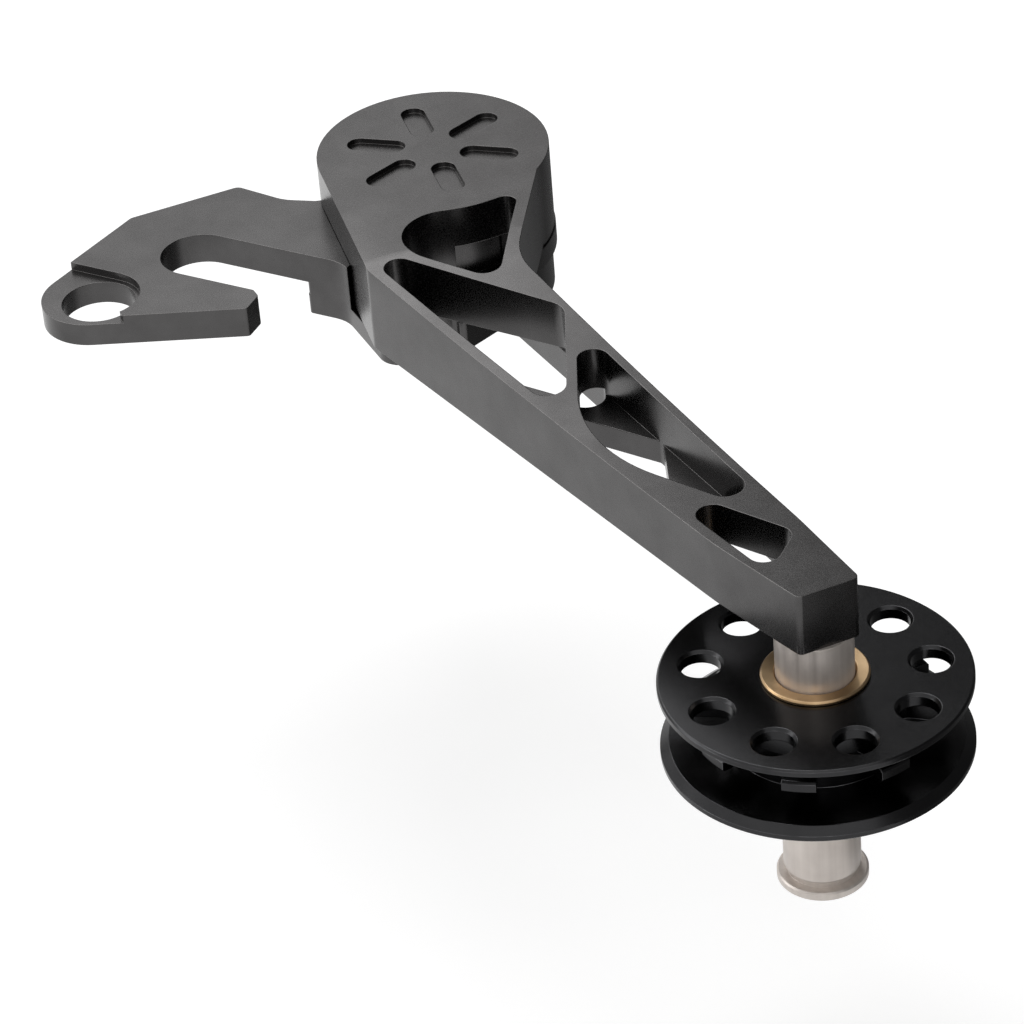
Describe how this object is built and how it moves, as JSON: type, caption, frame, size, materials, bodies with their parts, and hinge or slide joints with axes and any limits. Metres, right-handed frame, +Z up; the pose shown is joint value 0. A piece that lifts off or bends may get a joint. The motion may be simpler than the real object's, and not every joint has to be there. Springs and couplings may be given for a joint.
{
  "type": "bicycle chain tensioner",
  "caption": "Sprung truss arm on a slotted hook plate, carrying a sliding, turning guide pulley that takes up a bicycle chain's slack.",
  "frame": {"origin": "seat centre of the hook plate's axle slot, on the plate's underside", "axes": "+Z up along the arm's pivot and the pulley's shaft, +X along the arm from the pivot to the shaft"},
  "size_m": [0.1876, 0.0999, 0.0651],
  "materials": {
    "bracket_alloy": "satin black anodised",
    "arm_alloy": "satin black anodised",
    "disc_alloy": "satin black anodised",
    "wheel_alloy": "satin black anodised",
    "bronze": "turned sintered bronze",
    "sleeve_steel": "turned and polished stainless",
    "screw_steel": "plain",
    "spring_steel": "oiled spring wire"
  },
  "bodies": {
    "bracket": {"hook_bracket": "bracket_alloy", "pivot_bush": "bronze", "thrust_washer": "bronze", "torsion_spring": "spring_steel"},
    "swing_arm": {"arm": "arm_alloy", "pivot_washer": "screw_steel", "pivot_bolt": "screw_steel", "shaft_sleeve": "sleeve_steel", "shaft_bolt": "screw_steel"},
    "slider": {"upper_bush": "bronze", "lower_bush": "bronze"},
    "pulley": {"upper_guide_disc": "disc_alloy", "toothed_wheel": "wheel_alloy", "lower_guide_disc": "disc_alloy"}
  },
  "joints": [
    {"name": "arm_swing", "type": "hinge", "parent": "bracket", "child": "swing_arm", "pos_m": [0.001, 0.0454, 0], "axis": [0, 0, 1], "range_deg": [0, 88], "stiffness_Nm_per_rad": 0.4, "springref_deg": -57.3},
    {"name": "pulley_slide", "type": "slide", "parent": "swing_arm", "child": "slider", "axis": [0, 0, 1], "range_m": [-0.0234, 0.0079]},
    {"name": "pulley_spin", "type": "hinge", "parent": "slider", "child": "pulley", "pos_m": [0.1427, 0.0454, -0.0184], "axis": [0, 0, 1], "continuous": true}
  ]
}
